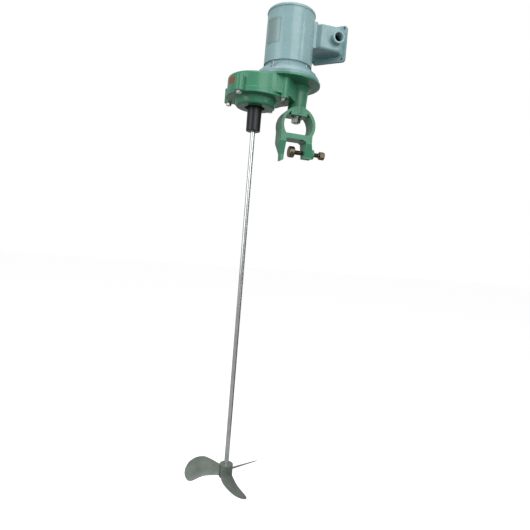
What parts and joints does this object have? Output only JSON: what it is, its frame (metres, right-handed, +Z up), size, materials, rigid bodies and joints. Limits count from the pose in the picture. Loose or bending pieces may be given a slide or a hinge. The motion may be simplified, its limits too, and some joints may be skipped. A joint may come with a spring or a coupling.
{
  "type": "tank agitator",
  "caption": "Clamp-on tank agitator: an upright geared motor on a swivelling clamp turns a long shaft with a marine propeller",
  "frame": {"origin": "middle of the clamp's rim seat, on the vertical pivot axis of the head", "axes": "+Z up along the shafts; +X from the agitator shaft towards the clamp screw and the terminal box; +Y away from the conduit entry"},
  "size_m": [0.3476, 0.2032, 1.2546],
  "materials": {
    "clamp_paint": "green enamel over a rough casting",
    "case_paint": "green enamel over a casting",
    "motor_paint": "pale blue-grey enamel",
    "bracket_paint": "pale blue-grey enamel over a casting",
    "sleeve_black": "blackened turned steel",
    "shaft_stainless": "ground stainless steel",
    "propeller_stainless": "cast and brushed stainless steel",
    "screw_zinc": "yellow zinc plated steel",
    "fastener_zinc": "bright zinc plated steel",
    "gear_steel": "machined alloy steel",
    "bearing_steel": "ground bearing steel",
    "lamination_steel": "varnished steel laminations",
    "winding_copper": "enamelled copper wire",
    "seal_rubber": "nitrile rubber",
    "terminal_plastic": "moulded terminal plastic"
  },
  "bodies": {
    "clamp": {"clamp": "clamp_paint"},
    "head": {"gear_case": "case_paint", "gear_cover": "case_paint", "cover_gasket": "seal_rubber", "cover_bolts": "fastener_zinc", "pivot_stud": "fastener_zinc", "pivot_washer": "fastener_zinc", "pivot_nut": "fastener_zinc", "output_bearings": "bearing_steel", "output_seal": "seal_rubber", "lower_bracket": "bracket_paint", "bracket_screws": "fastener_zinc", "motor_bolts": "fastener_zinc", "motor_shell": "motor_paint", "top_cap": "motor_paint", "upper_bracket": "bracket_paint", "stator_core": "lamination_steel", "stator_windings": "winding_copper", "motor_bearings": "bearing_steel", "motor_seal": "seal_rubber", "terminal_box": "motor_paint", "terminal_gasket": "seal_rubber", "terminal_lid": "motor_paint", "lid_screws": "fastener_zinc", "terminal_block": "terminal_plastic"},
    "output": {"output_shaft": "gear_steel", "output_gear": "gear_steel", "gear_key": "gear_steel", "coupling_sleeve": "sleeve_black", "sleeve_screws": "sleeve_black", "agitator_shaft": "shaft_stainless", "propeller": "propeller_stainless", "propeller_screw": "fastener_zinc"},
    "rotor": {"rotor_core": "lamination_steel", "motor_shaft": "gear_steel", "pinion": "gear_steel"},
    "pad": {"pressure_pad": "screw_zinc"},
    "screw": {"clamp_screw": "screw_zinc"}
  },
  "joints": [
    {"name": "head_swivel", "type": "hinge", "parent": "clamp", "child": "head", "pos_m": [0, 0, 0], "axis": [0, 0, 1], "range_deg": [-160, 160]},
    {"name": "shaft_spin", "type": "hinge", "parent": "head", "child": "output", "pos_m": [-0.116, 0, 0], "axis": [0, 0, 1], "continuous": true},
    {"name": "rotor_spin", "type": "hinge", "parent": "head", "child": "rotor", "pos_m": [-0.036, 0, 0], "axis": [0, 0, 1], "continuous": true},
    {"name": "pad_slide", "type": "slide", "parent": "clamp", "child": "pad", "axis": [1, 0, 0], "range_m": [-0.016, 0.025]},
    {"name": "screw_turn", "type": "hinge", "parent": "pad", "child": "screw", "pos_m": [0, 0, -0.0305], "axis": [1, 0, 0], "range_deg": [-3300, 5150]}
  ],
  "couplings": [
    {"joint": "rotor_spin", "follows": "shaft_spin", "ratio": -5.1538},
    {"joint": "screw_turn", "follows": "pad_slide", "rad_per_m": 3590.4}
  ]
}
